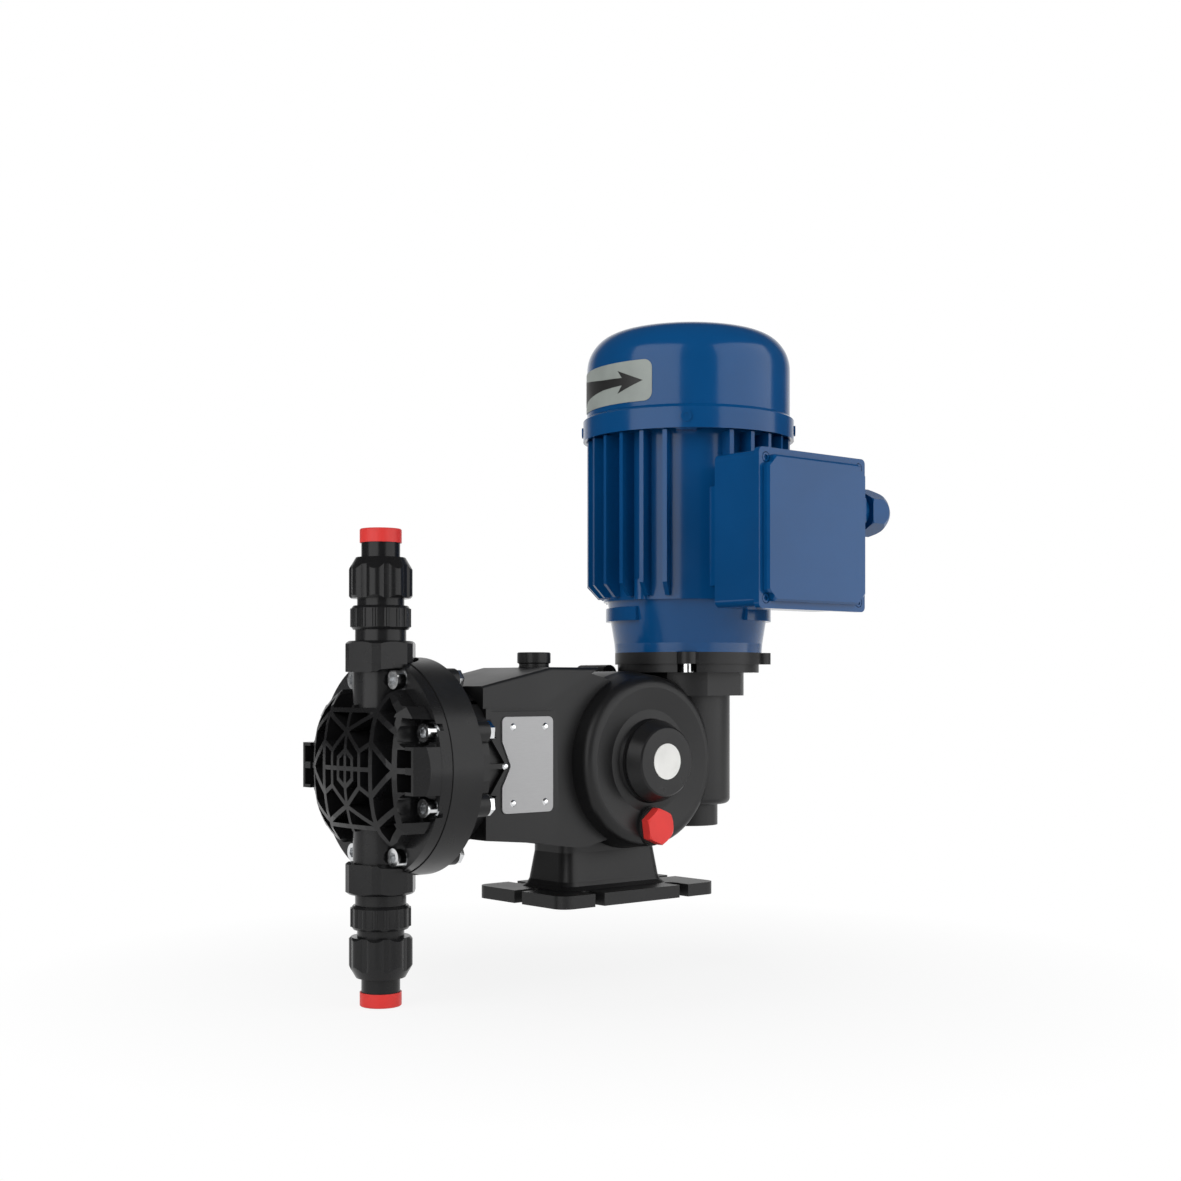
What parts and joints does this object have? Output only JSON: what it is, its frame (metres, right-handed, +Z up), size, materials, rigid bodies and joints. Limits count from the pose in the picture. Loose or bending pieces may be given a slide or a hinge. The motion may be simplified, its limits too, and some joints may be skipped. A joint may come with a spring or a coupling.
{
  "type": "diaphragm dosing pump",
  "caption": "Motor-driven diaphragm dosing pump with worm gear, adjustable eccentric stroke, ribbed pump head, valve stacks and finned motor.",
  "frame": {"origin": "centre of the foot's bottom face", "axes": "+Z up, +X from the pump head to the motor, -Y the side with the stroke knob and the terminal box lid"},
  "size_m": [0.3233, 0.1813, 0.3905],
  "materials": {
    "cast_black": "satin black paint on cast aluminium",
    "plastic_black": "moulded black polypropylene",
    "plastic_dark": "smooth dark plastic",
    "motor_blue": "semi-gloss blue paint",
    "gland_blue": "blue painted plastic",
    "cap_red": "red plastic",
    "disc_white": "white plastic",
    "plate_grey": "brushed grey plate",
    "zinc": "zinc plated",
    "steel": "ground steel",
    "bronze": "machined bronze",
    "rubber_black": "black rubber",
    "ptfe_white": "white fluoropolymer",
    "ball_ceramic": "polished ceramic",
    "core_steel": "stacked sheet steel",
    "board_brown": "moulded terminal board"
  },
  "bodies": {
    "base": {"bearings": "steel", "bushes": "bronze", "casing_screws": "zinc", "diaphragm": "ptfe_white", "drain_plug": "cap_red", "fan_cover": "motor_blue", "foot": "cast_black", "gaskets": "rubber_black", "gear_casing": "cast_black", "gland_body": "gland_blue", "gland_nut": "gland_blue", "head_nuts": "zinc", "head_ring": "plastic_dark", "head_screws": "zinc", "head_washers": "zinc", "motor_adapter": "cast_black", "motor_cover_screws": "motor_blue", "motor_end_bell": "motor_blue", "motor_frame": "motor_blue", "motor_rear_shield": "motor_blue", "nameplate": "plate_grey", "nameplate_rivets": "zinc", "pump_head": "plastic_black", "rear_cover": "cast_black", "return_spring": "steel", "ring_nuts": "plastic_black", "seals": "rubber_black", "side_plug": "plastic_dark", "stator": "core_steel", "tailpieces": "plastic_black", "terminal_board": "board_brown", "terminal_box": "motor_blue", "terminal_lid": "motor_blue", "valve_bodies": "plastic_black", "valve_seats": "ptfe_white", "worm_end_cap": "plastic_dark"},
    "rotor": {"motor_shaft": "steel", "rotor_core": "core_steel", "cooling_fan": "plastic_dark", "shaft_coupling": "steel", "worm": "steel"},
    "wheel": {"worm_wheel": "bronze", "wheel_shaft": "steel", "shaft_spacer": "steel"},
    "eccentric_set": {"eccentric": "steel", "cam_ring": "steel", "eccentric_pin": "steel"},
    "control_slider": {"control_pin": "steel"},
    "knob": {"stroke_knob": "plastic_dark", "knob_disc": "disc_white"},
    "spindle": {"adjusting_spindle": "steel"},
    "rod": {"push_rod": "steel", "diaphragm_insert": "steel"},
    "upper_ball": {"discharge_ball": "ball_ceramic"},
    "lower_ball": {"suction_ball": "ball_ceramic"},
    "upper_nut": {"discharge_union_nut": "plastic_black"},
    "lower_nut": {"suction_union_nut": "plastic_black"},
    "upper_cap": {"discharge_cap": "cap_red"},
    "lower_cap": {"suction_cap": "cap_red"},
    "filler": {"filler_cap": "plastic_dark"}
  },
  "joints": [
    {"name": "motor_spin", "type": "hinge", "parent": "base", "child": "rotor", "pos_m": [0.0608, -0.015, 0.2], "axis": [0, 0, 1], "continuous": true},
    {"name": "wheel_turn", "type": "hinge", "parent": "base", "child": "wheel", "pos_m": [0.0082, 0, 0.0816], "axis": [0, 1, 0], "continuous": true},
    {"name": "knob_turn", "type": "hinge", "parent": "base", "child": "knob", "pos_m": [0.0082, 0, 0.0816], "axis": [0, 1, 0], "range_deg": [0, 1080]},
    {"name": "spindle_feed", "type": "slide", "parent": "knob", "child": "spindle", "axis": [0, 1, 0], "range_m": [0, 0.0075]},
    {"name": "control_slide", "type": "slide", "parent": "wheel", "child": "control_slider", "axis": [0, 1, 0], "range_m": [0, 0.0075]},
    {"name": "eccentric_shift", "type": "slide", "parent": "wheel", "child": "eccentric_set", "axis": [-1, 0, 0], "range_m": [0, 0.002]},
    {"name": "rod_stroke", "type": "slide", "parent": "base", "child": "rod", "axis": [-1, 0, 0], "range_m": [-0.004, 0], "deforming": ["return_spring", "diaphragm"]},
    {"name": "discharge_ball_lift", "type": "slide", "parent": "base", "child": "upper_ball", "axis": [0, 0, 1], "range_m": [0, 0.0025]},
    {"name": "suction_ball_lift", "type": "slide", "parent": "base", "child": "lower_ball", "axis": [0, 0, 1], "range_m": [0, 0.0025]},
    {"name": "discharge_nut_turn", "type": "hinge", "parent": "base", "child": "upper_nut", "pos_m": [-0.1551, 0, 0.18], "axis": [0, 0, 1], "continuous": true},
    {"name": "suction_nut_turn", "type": "hinge", "parent": "base", "child": "lower_nut", "pos_m": [-0.1551, 0, -0.02], "axis": [0, 0, 1], "continuous": true},
    {"name": "discharge_cap_pull", "type": "slide", "parent": "base", "child": "upper_cap", "axis": [0, 0, 1], "range_m": [0, 0.05]},
    {"name": "suction_cap_pull", "type": "slide", "parent": "base", "child": "lower_cap", "axis": [0, 0, -1], "range_m": [0, 0.05]},
    {"name": "filler_cap_lift", "type": "slide", "parent": "base", "child": "filler", "axis": [0, 0, 1], "range_m": [0, 0.06]}
  ],
  "couplings": [
    {"joint": "wheel_turn", "follows": "motor_spin", "ratio": 0.02381},
    {"joint": "knob_turn", "follows": "eccentric_shift", "rad_per_m": 9424.8},
    {"joint": "spindle_feed", "follows": "eccentric_shift", "ratio": 3.75},
    {"joint": "control_slide", "follows": "eccentric_shift", "ratio": 3.75}
  ]
}
